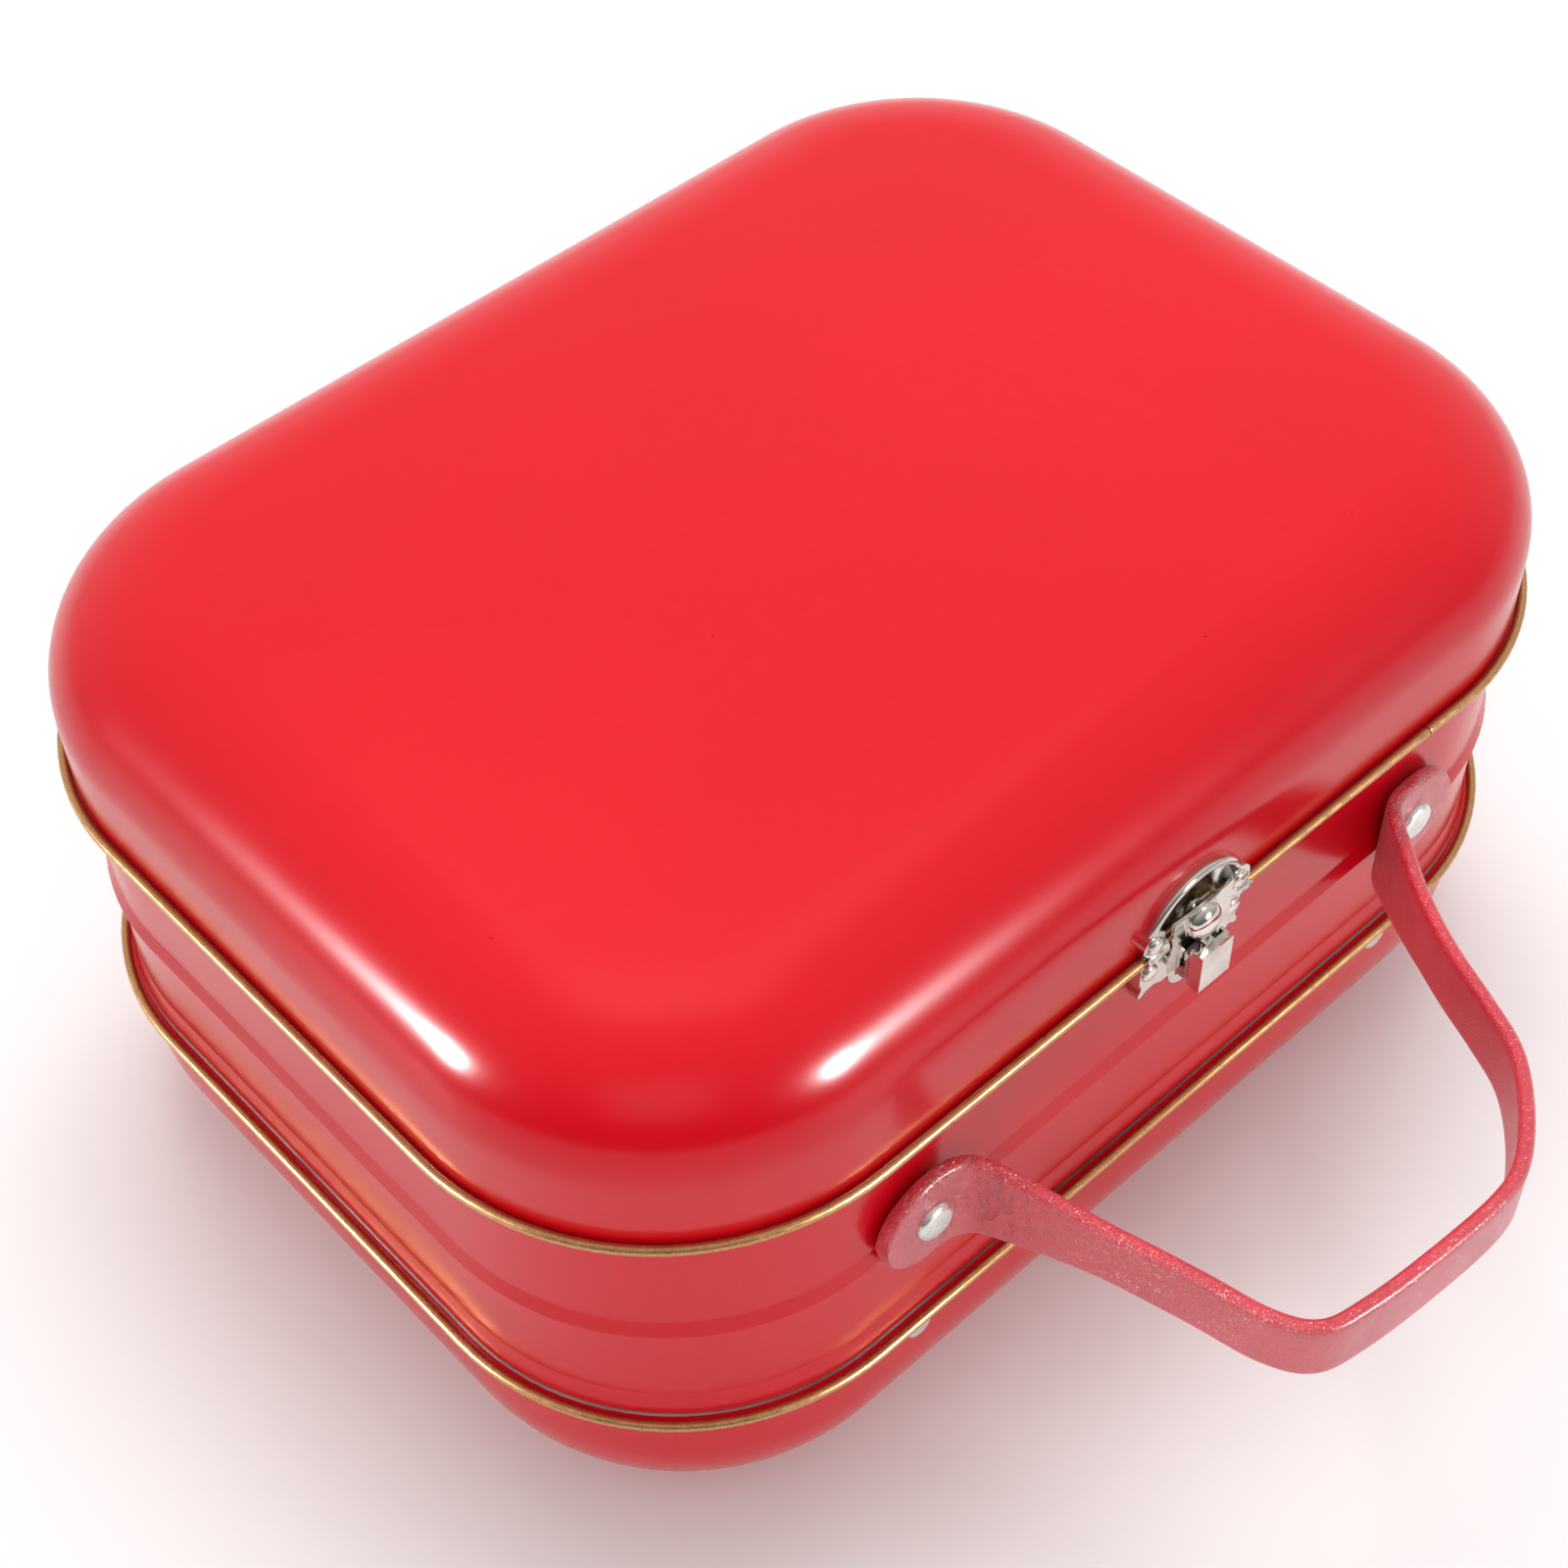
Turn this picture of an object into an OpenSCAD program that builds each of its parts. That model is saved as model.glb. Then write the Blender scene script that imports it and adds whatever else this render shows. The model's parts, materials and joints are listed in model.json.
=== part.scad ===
// Suitcase-style tin lunch box: hinged lid, snap hasp, leather strap handle.
// Millimetres. +Z up, X along the long side, the latch and handle face -Y,
// the lid hinges at +Y, and the origin is the centre of the underside.

/* [Case] */
// Length over the centre lines of the rim wires
case_l = 255; // [200:1:320]
// Width over the centre lines of the rim wires
case_w = 197; // [160:1:250]
// Plan corner radius at the rim wires
corner_r = 53; // [45:1:64]
// Height of the pan's rim wire above the underside
pan_h = 40; // [32:1:50]
// Distance between the two rim wires
wall_h = 58; // [50:1:75]
// Height of the lid's top above its rim wire
lid_h = 37; // [30:1:50]
// Radius of the lid's rounded top edge
lid_edge_r = 24; // [15:1:28]
// Radius of the pan's rounded bottom edge
pan_edge_r = 25; // [15:1:30]
// Thickness of the tin sheet
sheet_t = 0.5; // [0.4:0.05:0.8]

/* [Rims and beads] */
// Diameter of the rim wires
rim_d = 1.9; // [1.4:0.1:2.4]
// How far the lid's skirt lies inside the rim's centre line
lid_inset = 1.2; // [1:0.1:1.5]
// How far the pan's wall lies inside the rim's centre line
pan_inset = 1.8; // [1.6:0.1:2]
// How far the body band lies inside the rim's centre line
band_inset = 2.8; // [2.7:0.1:3.4]
// How far the stiffening bead stands out of the band
bead_out = 1.2; // [0.6:0.1:1.3]
// Height of the bead's sloping face
bead_h = 3.3; // [2:0.1:4]
// Drop from the lid's rim wire to the top of the bead
bead_drop = 27.2; // [26:0.1:30]
// How far the body's neck stands up inside the lid
neck_h = 9; // [5:0.5:12]
// Overlap of the body band inside the pan
seat_h = 8; // [7:0.5:12]

/* [Handle] */
// How far each handle rivet stands inside the end of the front's straight run
handle_setback = 10.5; // [7:0.5:16]
// Drop from the lid's rim wire to the handle's axis
handle_drop = 24; // [20:0.5:30]
// Radius of the strap's round end tabs
tab_r = 11; // [8:0.5:13]
// Width of the strap at the grip
strap_w = 14; // [12:0.5:20]
// Thickness of the strap
strap_t = 3; // [2:0.1:3.4]
// How far inside its rivet each leg of the strap stands
leg_inset = 9; // [8:0.5:12]
// Reach of the handle in front of the rim wires
handle_reach = 68; // [60:1:80]
// Width of the loop at its outer end
grip_w = 80; // [60:1:95]
// Radius of the loop's two outer corners
loop_r = 20; // [12:1:25]
// Diameter of the handle's rivet caps
cap_d = 8.2; // [7:0.1:9]

/* [Latch] */
// Radius of the half-round strike plate
strike_r = 13.4; // [12:0.1:14]
// Distance between the latch's two rivets on each plate
latch_span = 21.4; // [21:0.1:22]
// Width of the hasp's winged plate
hasp_w = 15.2; // [14:0.1:16]
// Width of the finger pad
pad_w = 8; // [6.8:0.1:8.4]
// Height of the finger pad
pad_h = 9.4; // [8:0.1:10.5]
// Diameter of the hasp pin
hasp_pin_d = 1.2; // [1:0.1:1.4]
// Thickness of the latch's plates
plate_t = 0.6; // [0.4:0.05:0.8]

/* [Hinges] */
// How far each hinge's outer end stands inside the end of the back's straight run
hinge_setback = 4.5; // [3:0.5:12]
// Width of each hinge
hinge_w = 30; // [24:1:32]
// Diameter of the hinge pins
hinge_pin_d = 2; // [1.6:0.1:2.4]
// Thickness of the hinge leaves
leaf_t = 0.8; // [0.6:0.05:1]

/* [Fits] */
// Radial running clearance of pins in their eyes
pin_fit = 0.05; // [0.03:0.01:0.08]
// Radial clearance of rivets in their holes
rivet_fit = 0.05; // [0.02:0.01:0.1]
// Gap kept between parts that move past each other
gap = 0.4; // [0.3:0.05:0.5]

/* [Hidden] */
$fn = 96;
eps = 0.01;
rim_r = rim_d / 2;
rim_z = pan_h + wall_h;
top_z = rim_z + lid_h;
half_l = case_l / 2;
half_w = case_w / 2;
skirt_z = rim_z - rim_r;
hem_r = 0.7;
straight = half_l - corner_r;

// Front face planes, as distances in front of the centre
rim_front = half_w + rim_r;
skirt_front = half_w - lid_inset;
band_front = half_w - band_inset;
bead_front = band_front + bead_out;
pan_front = half_w - pan_inset;

// Handle
handle_x = straight - handle_setback;
tab_back = bead_front + 0.1;
tab_front = tab_back + strap_t;
handle_z = rim_z - handle_drop;
swing_y = tab_front + 12;
loop_y = half_w + handle_reach;
leg_x = handle_x - leg_inset;
bend_r = strap_t + 2.5;
bend_x = leg_x - strap_t + bend_r;
taper_len = 28;

// Latch: the strike plate is on the lid, the base plate and hasp on the body
strike_z = rim_z + rim_r + 0.15;
strike_t = 1.75;
strike_roll = 0.85;
strike_ear_r = 3;
base_top = rim_z - rim_r - gap;
base_front = rim_front - 1.05;
base_low = 16;
base_shoulder = 11;
base_margin = 2.2;
hasp_back = rim_front + 0.25;
hasp_front = hasp_back + plate_t;
hasp_rise = 6.9;
hasp_drop = 6.4;
hasp_sag = 0.8;
hasp_sag_r = 36;
hasp_strip_w = 2.2;
stud_rise = 3.1;
stud_z = rim_z + stud_rise;
dome_r = 3.3;
dome_h = 1.9;
pad_front = rim_front + 5.05;
pad_top = rim_z - 1.9;
lug_front = rim_front + 2.05;
lug_top = rim_z - 3.5;
lug_in = pad_w / 2 - plate_t;
lug_window = [1.6, 2.4];
pin_y = rim_front + 1.15;
pin_z = pad_top - pad_h + 1.7;
pin_r = hasp_pin_d / 2;
pin_ear_in = lug_in - 0.15 - plate_t;
pin_ear_r = 1.45;
pad_lip = 1.8;
base_rivet_z = rim_z - 5;

// Hinges
hinge_x = straight - hinge_setback - hinge_w / 2;
leaf_y = rim_front + gap;
eye_r = hinge_pin_d / 2 + pin_fit + leaf_t;
hinge_y = leaf_y + eye_r;
hinge_z = skirt_z - 2;
eyes = 5;
eye_gap = 0.15;
eye_notch = eye_r + 0.45;
leaf_plate_h = 9.5;
lid_step_z = rim_z + rim_r + gap;
body_step_z = hinge_z - 4;
hinge_rivet_x = 9;
lid_leaf_rivet_z = lid_step_z + 5.5;
body_leaf_rivet_z = body_step_z - 5.5;

// Rivets: shank radius, then [radius, height] of the head and of the tail inside
rivet_r = 1.2;
cap = [cap_d / 2, 1.6];
pan_head = [3, 1.3];
rivet_tail = [2.2, 0.8];
small_r = 0.8;
small_head = [1.9, 1];
small_tail = [1.5, 0.6];
stud_head = [2.2, 1.2];
washer_r = 4.5;
washer_t = 0.8;
pan_rivet_z = pan_h - 4.4;
hole = 8;

// ---------------------------------------------------------------- helpers

// Sweeps a section around the case: x is outward from the rim's centre line, y is up
module around() {
    long = 2 * straight;
    short = case_w - 2 * corner_r;
    for (turn = [0, 180]) rotate(turn) {
        translate([-long / 2, half_w, 0]) rotate([90, 0, 90]) linear_extrude(long) children();
        translate([half_l, short / 2, 0]) rotate([90, 0, 0]) linear_extrude(short) children();
        translate([long / 2, short / 2, 0]) rotate_extrude(angle = 90)
            translate([corner_r, 0]) children();
        translate([-long / 2, short / 2, 0]) rotate(90) rotate_extrude(angle = 90)
            translate([corner_r, 0]) children();
    }
}

// Flat rounded outline of the case, a given distance inside the rim's centre line
module case_outline(inset) {
    r = corner_r - inset;
    y = half_w - corner_r;
    square([2 * straight, 2 * (y + r)], center = true);
    square([2 * (straight + r), 2 * y], center = true);
    for (sx = [-1, 1], sy = [-1, 1]) translate([sx * straight, sy * y]) circle(r);
}

// Quarter of a ring between two radii, in the first quadrant
module quarter_ring(r, t) {
    intersection() {
        difference() {
            circle(r);
            circle(r - t);
        }
        square(r + 1);
    }
}

// Stands a flat outline (x, height) in front of the case, from y0 outward by t
module facing(y0, t) {
    translate([0, -y0, 0]) rotate([90, 0, 0]) linear_extrude(t) children();
}

// Round bar along X
module bar(r, x0, x1, y, z) {
    translate([x0, y, z]) rotate([0, 90, 0]) cylinder(r = r, h = x1 - x0);
}

// Shallow domed head of a rivet: flat face at z = 0, crown at z = h
module dome(r, h) {
    big = (r * r + h * h) / (2 * h);
    intersection() {
        translate([0, 0, h - big]) sphere(big);
        cylinder(r = r + 1, h = h + 1);
    }
}

// Rivet standing on z = 0 with its dome up, its grip below and a tail under that
module rivet(r, head, grip, tail) {
    dome(head[0], head[1]);
    translate([0, 0, -grip - eps]) cylinder(r = r, h = grip + 2 * eps);
    translate([0, 0, -grip - tail[1]]) cylinder(r = tail[0], h = tail[1]);
}

// Clearance hole for a rivet, through whatever stands near z = 0
module rivet_hole(r) {
    cylinder(r = r + rivet_fit, h = hole, center = true);
}

// Puts a rivet's head on a front plane, y0 in front of the centre, or on the back
module front_at(x, y0, z) { translate([x, -y0, z]) rotate([90, 0, 0]) children(); }
module back_at(x, y0, z) { translate([x, y0, z]) rotate([-90, 0, 0]) children(); }

// ------------------------------------------------------------------- case

module pan_profile() {
    translate([-pan_inset - pan_edge_r, pan_edge_r]) mirror([0, 1])
        quarter_ring(pan_edge_r, sheet_t);
    translate([-pan_inset - sheet_t, pan_edge_r]) square([sheet_t, pan_h + rim_r - pan_edge_r]);
}

module pan_rivet_holes() {
    for (sx = [-1, 1]) {
        front_at(sx * handle_x, pan_front, pan_rivet_z) rivet_hole(rivet_r);
        back_at(sx * handle_x, pan_front, pan_rivet_z) rivet_hole(rivet_r);
    }
}

// Deep-drawn bottom with a rounded lower edge
module bottom_pan() {
    color([0.78, 0.05, 0.10]) difference() {
        union() {
            around() pan_profile();
            linear_extrude(sheet_t) case_outline(pan_inset + pan_edge_r);
        }
        pan_rivet_holes();
    }
}

// Rim wire with the web that joins it to the sheet behind
module rim_profile(inset) {
    circle(rim_r, $fn = 48);
    translate([-inset, -rim_r / 2]) square([inset, rim_r]);
}

// Gold edging on the pan
module pan_rim_wire() {
    color([0.72, 0.52, 0.25]) translate([0, 0, pan_h]) around() rim_profile(pan_inset);
}

// Stepped band between pan and lid, listed down its outer face as [outward, height]
function band_points(inset) = [
    [-inset, rim_z + neck_h],
    [-inset, rim_z - bead_drop],
    [-inset + bead_out, rim_z - bead_drop - bead_h],
    [-inset + 0.3, rim_z - bead_drop - bead_h - 1.4],
    [-inset + 0.1, pan_h + 6.2],
    [-inset + bead_out - 0.1, pan_h + 1.9],
    [-inset - pan_inset - sheet_t + band_inset - 0.05, pan_h + rim_r + 0.05],
    [-inset - pan_inset - sheet_t + band_inset - 0.05, pan_h - seat_h]];

module band_profile() {
    outer = band_points(band_inset);
    inner = band_points(band_inset + sheet_t);
    count = len(outer);
    polygon(concat(outer, [for (k = [count - 1:-1:0]) inner[k]]));
}

module body_wall() {
    color([0.80, 0.10, 0.16]) difference() {
        around() band_profile();
        pan_rivet_holes();
        for (sx = [-1, 1]) {
            front_at(sx * handle_x, band_front, handle_z) rivet_hole(rivet_r);
            front_at(sx * latch_span / 2, band_front, base_rivet_z) rivet_hole(small_r);
        }
        leaf_rivet_holes(band_front, body_leaf_rivet_z);
    }
}

// Wire that the neck's top edge is curled over, inside the neck
module neck_hem_wire() {
    color([0.80, 0.10, 0.16]) translate([0, 0, rim_z + neck_h - hem_r]) around()
        translate([-band_inset - sheet_t - hem_r, 0]) {
            circle(hem_r, $fn = 48);
            translate([0, -hem_r / 2]) square(hem_r);
        }
}

module pan_rivets() {
    grip = 2 * sheet_t + 0.05;
    color([0.85, 0.85, 0.84]) for (sx = [-1, 1]) {
        front_at(sx * handle_x, pan_front, pan_rivet_z)
            rivet(rivet_r, pan_head, grip, rivet_tail);
        back_at(sx * handle_x, pan_front, pan_rivet_z)
            rivet(rivet_r, pan_head, grip, rivet_tail);
    }
}

// -------------------------------------------------------------------- lid

module lid_profile() {
    translate([-lid_inset - lid_edge_r, top_z - lid_edge_r]) quarter_ring(lid_edge_r, sheet_t);
    translate([-lid_inset - sheet_t, skirt_z])
        square([sheet_t, top_z - lid_edge_r - skirt_z]);
}

// Deep-drawn lid with a broad rounded top edge
module lid_shell() {
    color([0.86, 0.07, 0.13]) difference() {
        union() {
            around() lid_profile();
            translate([0, 0, top_z - sheet_t]) linear_extrude(sheet_t)
                case_outline(lid_inset + lid_edge_r);
        }
        for (x = [-latch_span / 2, 0, latch_span / 2])
            front_at(x, skirt_front, stud_z) rivet_hole(small_r);
        leaf_rivet_holes(skirt_front, lid_leaf_rivet_z);
    }
}

// Gold edging on the lid, cut through where its two ends meet
module lid_rim_wire() {
    color([0.72, 0.52, 0.25]) difference() {
        translate([0, 0, rim_z]) around() rim_profile(lid_inset);
        translate([handle_x, -half_w, rim_z]) rotate([0, 35, 0])
            cube([0.25, 3 * rim_d, 3 * rim_d], center = true);
    }
}

// ----------------------------------------------------------------- handle

// Strap end on the wall: round tab, then a quarter bend and the root of the leg
module strap_end() {
    facing(tab_back, strap_t) translate([0, handle_z]) {
        translate([handle_x, 0]) circle(tab_r);
        translate([bend_x, -tab_r]) square([handle_x - bend_x, 2 * tab_r]);
    }
    translate([bend_x, -tab_back - bend_r, handle_z - tab_r]) {
        linear_extrude(2 * tab_r) rotate(90) quarter_ring(bend_r, strap_t);
        translate([-bend_r, tab_back + bend_r - swing_y, 0])
            cube([strap_t, swing_y - tab_back - bend_r, 2 * tab_r]);
    }
}

// Both strap ends, hollowed where the loop swings
module handle_tabs() {
    color([0.76, 0.10, 0.16]) for (side = [0, 1]) mirror([side, 0, 0]) difference() {
        strap_end();
        bar(tab_r + gap, 0, bend_x - bend_r + strap_t + 1, -swing_y, handle_z);
        front_at(handle_x, tab_back + strap_t / 2, handle_z) rivet_hole(rivet_r);
    }
}

// Half of one side of the loop in plan, y outward from the swing axis.
// depth is how far the side lies inside the strap's outer face.
function loop_points(depth) =
    let (reach = loop_y - swing_y,
         centre = [grip_w / 2 - loop_r, reach - loop_r],
         from_centre = [leg_x, 0] - centre,
         first = atan2(from_centre[1], from_centre[0]) + acos(loop_r / norm(from_centre)),
         root = [leg_x, 0] - depth * [cos(first), sin(first)],
         steps = 16)
    concat([[leg_x - depth, -tab_r], root],
           [for (k = [0:steps]) let (a = first + (90 - first) * k / steps)
               centre + (loop_r - depth) * [cos(a), sin(a)]],
           [[0, reach - depth]]);

// Loop of the strap, standing on edge, round where it turns in the tabs
module handle_strap() {
    outer = loop_points(0);
    inner = loop_points(strap_t);
    count = len(outer);
    color([0.80, 0.10, 0.17]) intersection() {
        for (side = [0, 1]) mirror([side, 0, 0])
            translate([0, -swing_y, handle_z - tab_r]) linear_extrude(2 * tab_r)
                mirror([0, 1]) polygon(concat(outer, [for (k = [count - 1:-1:0]) inner[k]]));
        translate([-half_l, -swing_y, handle_z]) rotate([90, 0, 90]) linear_extrude(case_l) {
            circle(tab_r);
            polygon([[0, tab_r], [-taper_len, strap_w / 2], [-handle_reach, strap_w / 2],
                [-handle_reach, -strap_w / 2], [-taper_len, -strap_w / 2], [0, -tab_r]]);
        }
    }
}

module handle_rivets() {
    grip = tab_front - band_front + sheet_t + washer_t;
    color([0.86, 0.86, 0.85]) for (sx = [-1, 1])
        front_at(sx * handle_x, tab_front, handle_z)
            rivet(rivet_r, cap, grip, rivet_tail);
}

// Washers that spread the rivets' pull inside the wall
module handle_washers() {
    color([0.70, 0.70, 0.70]) for (sx = [-1, 1])
        front_at(sx * handle_x, band_front - sheet_t - washer_t, handle_z) difference() {
            cylinder(r = washer_r, h = washer_t);
            rivet_hole(rivet_r);
        }
}

// ------------------------------------------------------------------ latch

// Half-round dished plate with a rolled edge and two riveted ears
module strike_plate() {
    color([0.80, 0.79, 0.77]) intersection() {
        difference() {
            union() {
                facing(skirt_front, plate_t) translate([0, rim_z]) circle(strike_r - 0.5);
                front_at(0, skirt_front, rim_z) rotate_extrude(angle = 180)
                    translate([strike_r - strike_roll, 0]) {
                        translate([0, strike_t - strike_roll]) circle(strike_roll, $fn = 32);
                        translate([-strike_roll, 0])
                            square([2 * strike_roll, strike_t - strike_roll]);
                    }
                for (sx = [-1, 1]) facing(skirt_front, strike_t)
                    translate([sx * latch_span / 2, stud_z]) circle(strike_ear_r);
            }
            for (x = [-latch_span / 2, 0, latch_span / 2])
                front_at(x, skirt_front, stud_z) rivet_hole(small_r);
        }
        translate([-2 * strike_r, -rim_front - 5, strike_z])
            cube([4 * strike_r, 20, 2 * strike_r]);
    }
}

// Stud that the hasp's dome stands over
module strike_stud() {
    color([0.80, 0.79, 0.77]) front_at(0, skirt_front + plate_t, stud_z)
        rivet(small_r, stud_head, plate_t + sheet_t, small_tail);
}

module strike_rivets() {
    color([0.84, 0.83, 0.82]) for (sx = [-1, 1])
        front_at(sx * latch_span / 2, skirt_front + strike_t, stud_z)
            rivet(small_r, small_head, strike_t + sheet_t, small_tail);
}

// Outline of the base plate: straight top, cusped sides, and a round tongue below
module base_outline(inset) {
    half = latch_span / 2 + base_margin - inset;
    low = base_shoulder - inset;
    tongue_r = 5;
    cusp_r = 3.4;
    notch_r = 1.7;
    difference() {
        union() {
            translate([-half, rim_z - low]) square([2 * half, base_top - inset - rim_z + low]);
            translate([0, rim_z - base_low + tongue_r]) circle(tongue_r - inset);
        }
        for (sx = [-1, 1]) {
            translate([sx * (tongue_r + cusp_r + 1.2), rim_z - base_shoulder - 2.4])
                circle(cusp_r + inset);
            translate([sx * (half + inset + 1.1), rim_z - base_shoulder + 2.4])
                circle(notch_r + inset);
        }
    }
}

// Side view of one hinge lug: round about the pin, with a window above it
module lug_outline() {
    depth = lug_front - base_front + plate_t;
    foot = lug_front - pin_y - 0.05;
    difference() {
        union() {
            translate([-lug_front, pin_z]) square([depth, lug_top - pin_z]);
            translate([-pin_y, pin_z]) circle(foot);
            translate([-pin_y, pin_z - foot])
                square([depth - lug_front + pin_y, lug_top - pin_z]);
        }
        translate([plate_t - lug_front, lug_top - lug_window[1] - 2]) square(lug_window);
    }
}

// Raised pressing on the body wall with two lugs for the hasp pin
module latch_base_plate() {
    color([0.82, 0.81, 0.79]) difference() {
        union() {
            facing(base_front - plate_t, plate_t) base_outline(0);
            facing(band_front, base_front - band_front) difference() {
                base_outline(0);
                base_outline(plate_t);
            }
            for (sx = [-1, 1]) front_at(sx * latch_span / 2, band_front, base_rivet_z)
                cylinder(r = small_tail[0] + 0.2, h = base_front - band_front);
            for (x = [-pad_w / 2, lug_in]) translate([x, 0, 0])
                rotate([90, 0, 90]) linear_extrude(plate_t) lug_outline();
        }
        bar(pin_r + pin_fit, -pad_w, pad_w, -pin_y, pin_z);
        for (sx = [-1, 1])
            front_at(sx * latch_span / 2, band_front, base_rivet_z) rivet_hole(small_r);
    }
}

module latch_base_rivets() {
    color([0.84, 0.83, 0.82]) for (sx = [-1, 1])
        front_at(sx * latch_span / 2, base_front, base_rivet_z)
            rivet(small_r, small_head, base_front - band_front + sheet_t, small_tail);
}

// Winged plate of the hasp with its hollow-curved top edge
module hasp_plate_outline() {
    difference() {
        translate([-hasp_w / 2, rim_z - hasp_drop]) square([hasp_w, hasp_rise + hasp_drop]);
        translate([0, rim_z + hasp_rise - hasp_sag + hasp_sag_r]) circle(hasp_sag_r);
        translate([0, stud_z]) circle(dome_r - plate_t);
        translate([-pad_w / 2 - gap, rim_z - hasp_drop - 1])
            square([pad_w + 2 * gap, lug_top - rim_z + hasp_drop + 1 + gap]);
    }
}

// Hollow dome pressed out of the hasp plate
module hasp_dome() {
    big = (dome_r * dome_r + dome_h * dome_h) / (2 * dome_h);
    front_at(0, hasp_front, stud_z) difference() {
        translate([0, 0, dome_h - big]) intersection() {
            sphere(big);
            translate([0, 0, big - dome_h - plate_t]) cylinder(r = dome_r, h = 2 * big);
        }
        translate([0, 0, dome_h - big]) sphere(big - plate_t);
        translate([0, 0, -2 * big - plate_t]) cylinder(r = 2 * big, h = 2 * big);
    }
}

// Box-shaped finger pad: front, two sides, bottom, top lip, and ears to the pin
module hasp_pad() {
    side_back = lug_front + 0.15;
    low = pad_top - pad_h;
    web = 3.4;
    difference() {
        translate([-pad_w / 2, -pad_front, low]) cube([pad_w, pad_front - side_back, pad_h]);
        translate([-pad_w / 2 + plate_t, -pad_front + plate_t, low + plate_t])
            cube([pad_w - 2 * plate_t, pad_front, pad_h - 2 * plate_t]);
        translate([-pad_w / 2 + plate_t, -pad_front + pad_lip, low + 2 * plate_t])
            cube([pad_w - 2 * plate_t, pad_front, pad_h]);
    }
    for (x = [-pin_ear_in - plate_t, pin_ear_in]) translate([x, 0, 0]) rotate([90, 0, 90])
        linear_extrude(plate_t) {
            translate([-pin_y, pin_z]) circle(pin_ear_r);
            translate([-pad_front + 0.1, pin_z - web / 3])
                square([pad_front - pin_y - 0.1, web]);
            translate([-pin_y, pin_z]) square([1.3, 2.2]);
        }
    for (x = [-pin_ear_in - plate_t, pin_ear_in])
        translate([x, -side_back - plate_t, pin_z - web / 3]) cube([0.9, plate_t, web]);
}

// Hasp: one stamping of plate, dome, connecting strip and finger pad
module hasp() {
    color([0.86, 0.85, 0.83]) difference() {
        union() {
            facing(hasp_back, plate_t) hasp_plate_outline();
            hasp_dome();
            translate([-hasp_strip_w / 2, -pad_front + 1, pad_top - plate_t])
                cube([hasp_strip_w, pad_front - 1 - hasp_back, plate_t]);
            hasp_pad();
        }
        bar(pin_r + 0.02, -pad_w, pad_w, -pin_y, pin_z);
    }
}

module hasp_pin() {
    color([0.70, 0.70, 0.70]) bar(pin_r, -pad_w / 2 - 0.2, pad_w / 2 + 0.2, -pin_y, pin_z);
}

// Torsion spring on the pin: the closed coils as one sleeve, and its two legs
module hasp_spring() {
    wire_d = 0.4;
    coil_r = pin_r + 0.1 + wire_d;
    width = 7 * wire_d;
    color([0.60, 0.60, 0.62]) {
        difference() {
            bar(coil_r, -width / 2, width / 2, -pin_y, pin_z);
            bar(coil_r - wire_d, -width, width, -pin_y, pin_z);
        }
        for (leg = [-1, 1]) translate([(leg * (width - wire_d) - wire_d) / 2,
            -pin_y + coil_r - wire_d, pin_z]) cube([wire_d, wire_d, 3.2 + leg]);
    }
}

// ----------------------------------------------------------------- hinges

// Places a child at both hinges, in hinge coordinates: x along, y = 0 at the axis
module at_hinges() {
    for (sx = [-1, 1]) translate([sx * hinge_x, hinge_y, hinge_z]) children();
}

// Eyes numbered from first, every second one, with the straps that join their leaf
module hinge_eyes(first, up) {
    pitch = hinge_w / eyes;
    for (k = [first:2:eyes - 1]) translate([(k - eyes / 2) * pitch + eye_gap / 2, 0, 0]) {
        bar(eye_r, 0, pitch - eye_gap, 0, 0);
        translate([0, -eye_r, up > 0 ? 0 : -eye_notch - eps])
            cube([pitch - eye_gap, leaf_t, eye_notch + eps]);
    }
}

module hinge_bore() {
    bar(hinge_pin_d / 2 + pin_fit, -hinge_w, hinge_w, 0, 0);
}

module leaf_rivet_holes(y0, z) {
    for (sx = [-1, 1], dx = [-1, 1])
        back_at(sx * hinge_x + dx * hinge_rivet_x, y0, z) rivet_hole(small_r);
}

// Leaf on the body: down from the eyes, in under the rim, and flat on the band
module hinge_body_leaves() {
    drop = hinge_z - body_step_z;
    reach = hinge_y - band_front;
    color([0.80, 0.79, 0.77]) difference() {
        at_hinges() difference() {
            union() {
                hinge_eyes(0, -1);
                translate([-hinge_w / 2, -eye_r, -drop])
                    cube([hinge_w, leaf_t, drop - eye_notch]);
                translate([-hinge_w / 2, -reach, -drop])
                    cube([hinge_w, reach - eye_r + leaf_t, leaf_t]);
                translate([-hinge_w / 2, -reach, -drop - leaf_plate_h])
                    cube([hinge_w, leaf_t, leaf_plate_h + eps]);
            }
            hinge_bore();
        }
        leaf_rivet_holes(band_front, body_leaf_rivet_z);
    }
}

// Leaf on the lid: up from the eyes, in over the rim, and flat on the skirt
module hinge_lid_leaves() {
    rise = lid_step_z - hinge_z;
    reach = hinge_y - skirt_front;
    color([0.80, 0.79, 0.77]) difference() {
        at_hinges() difference() {
            union() {
                hinge_eyes(1, 1);
                translate([-hinge_w / 2, -eye_r, eye_notch])
                    cube([hinge_w, leaf_t, rise + leaf_t - eye_notch]);
                translate([-hinge_w / 2, -reach, rise])
                    cube([hinge_w, reach - eye_r + leaf_t, leaf_t]);
                translate([-hinge_w / 2, -reach, rise])
                    cube([hinge_w, leaf_t, leaf_plate_h]);
            }
            hinge_bore();
        }
        leaf_rivet_holes(skirt_front, lid_leaf_rivet_z);
    }
}

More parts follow.
